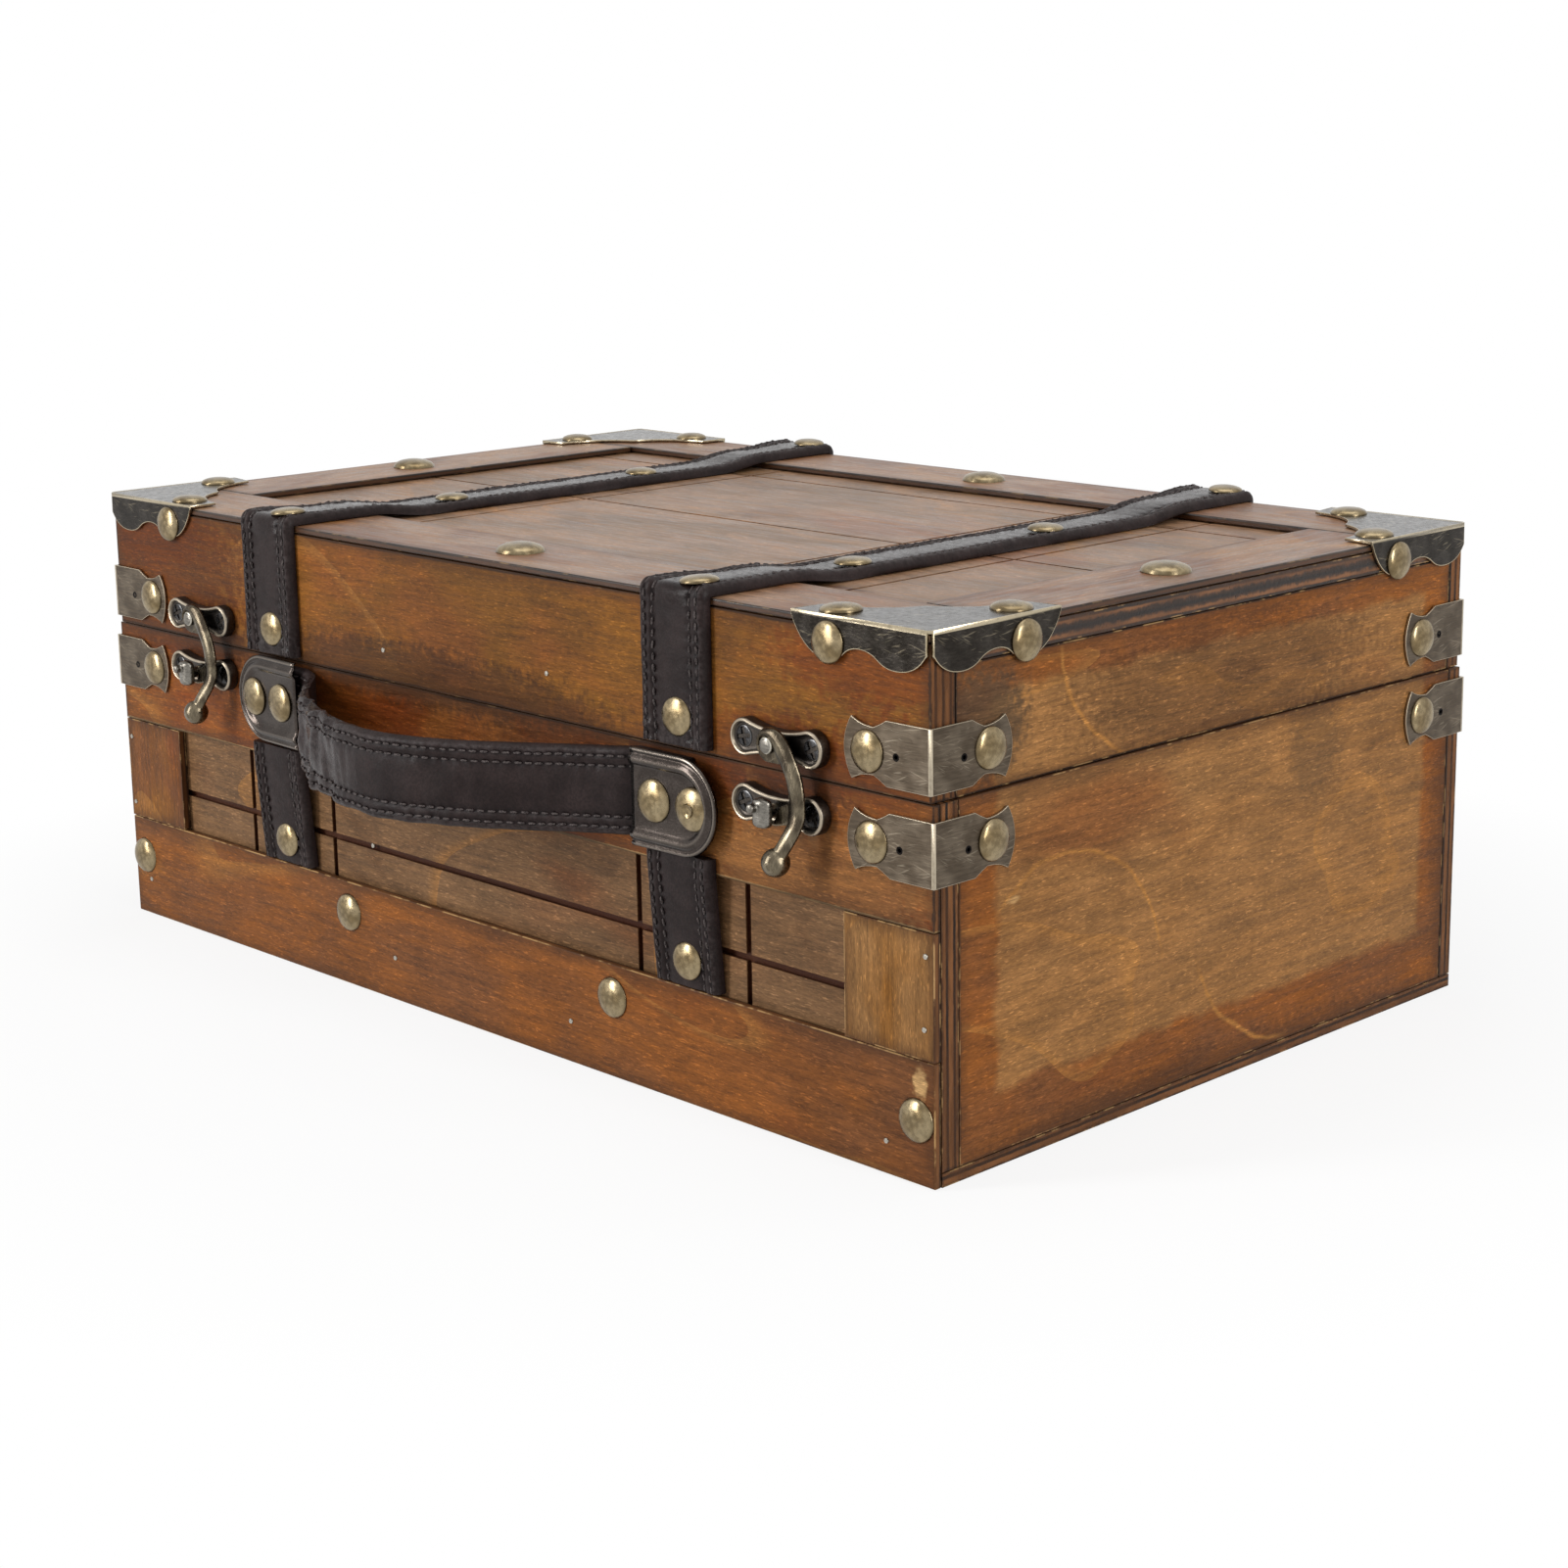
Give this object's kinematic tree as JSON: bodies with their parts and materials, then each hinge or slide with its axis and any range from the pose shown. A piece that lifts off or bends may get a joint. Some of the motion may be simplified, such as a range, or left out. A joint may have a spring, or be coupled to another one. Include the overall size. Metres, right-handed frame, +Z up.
{
  "type": "wooden trunk",
  "caption": "Small stained-plywood trunk with a hinged lid, hook latches, a front leather handle, leather straps, brass tacks and metal corners.",
  "frame": {"origin": "centre of the underside of the case, on the surface it stands on", "axes": "+X to the right along the front, -Y out of the front, +Z up"},
  "size_m": [0.3364, 0.2395, 0.1314],
  "materials": {
    "stained_wood": "orange-brown stain, worn satin",
    "dark_leather": "dark brown, grained, stitched",
    "antique_bronze": "dark antique, brushed, worn edges",
    "blackened_metal": "blackened, scratched, brassy edges",
    "aged_brass": "aged, satin, specked",
    "black_steel": "black, satin"
  },
  "bodies": {
    "case": {"bottom_panel": "stained_wood", "front_panel": "stained_wood", "back_panel": "stained_wood", "left_end_panel": "stained_wood", "right_end_panel": "stained_wood", "front_upper_rail": "stained_wood", "front_bottom_rail": "stained_wood", "front_left_stile": "stained_wood", "front_right_stile": "stained_wood", "case_bracket_front_left": "antique_bronze", "case_bracket_front_right": "antique_bronze", "case_bracket_back_left": "antique_bronze", "case_bracket_back_right": "antique_bronze", "handle_plate_left": "antique_bronze", "handle_plate_right": "antique_bronze", "handle_band": "dark_leather", "case_strap_front_left": "dark_leather", "case_strap_front_right": "dark_leather", "case_strap_back_left": "dark_leather", "case_strap_back_right": "dark_leather", "catch_plate_left": "antique_bronze", "catch_plate_right": "antique_bronze", "catch_screw_left_1": "black_steel", "catch_screw_left_2": "black_steel", "catch_screw_right_1": "black_steel", "catch_screw_right_2": "black_steel", "hinge_case_leaf_left": "antique_bronze", "hinge_case_leaf_right": "antique_bronze", "hinge_pin_left": "aged_brass", "hinge_pin_right": "aged_brass"},
    "lid": {"lid_top_panel": "stained_wood", "lid_front_board": "stained_wood", "lid_back_board": "stained_wood", "lid_left_end_board": "stained_wood", "lid_right_end_board": "stained_wood", "lid_frame_front": "stained_wood", "lid_frame_back": "stained_wood", "lid_frame_left": "stained_wood", "lid_frame_right": "stained_wood", "metal_corner_front_left": "blackened_metal", "metal_corner_front_right": "blackened_metal", "metal_corner_back_left": "blackened_metal", "metal_corner_back_right": "blackened_metal", "lid_bracket_front_left": "antique_bronze", "lid_bracket_front_right": "antique_bronze", "lid_bracket_back_left": "antique_bronze", "lid_bracket_back_right": "antique_bronze", "lid_strap_left": "dark_leather", "lid_strap_right": "dark_leather", "hook_plate_left": "antique_bronze", "hook_plate_right": "antique_bronze", "hook_screw_left_1": "black_steel", "hook_screw_left_2": "black_steel", "hook_screw_right_1": "black_steel", "hook_screw_right_2": "black_steel", "hinge_lid_leaf_left": "antique_bronze", "hinge_lid_leaf_right": "antique_bronze"},
    "left_hook": {"hook_left": "antique_bronze"},
    "right_hook": {"hook_right": "antique_bronze"}
  },
  "joints": [
    {"name": "lid_hinge", "type": "hinge", "parent": "case", "child": "lid", "pos_m": [0, 0.1043, 0.08865], "axis": [-1, 0, 0], "range_deg": [0, 110]},
    {"name": "left_hook_pivot", "type": "hinge", "parent": "lid", "child": "left_hook", "pos_m": [-0.1187, -0.102, 0.0958], "axis": [0, -1, 0], "range_deg": [0, 160]},
    {"name": "right_hook_pivot", "type": "hinge", "parent": "lid", "child": "right_hook", "pos_m": [0.1187, -0.102, 0.0958], "axis": [0, -1, 0], "range_deg": [0, 160]}
  ]
}
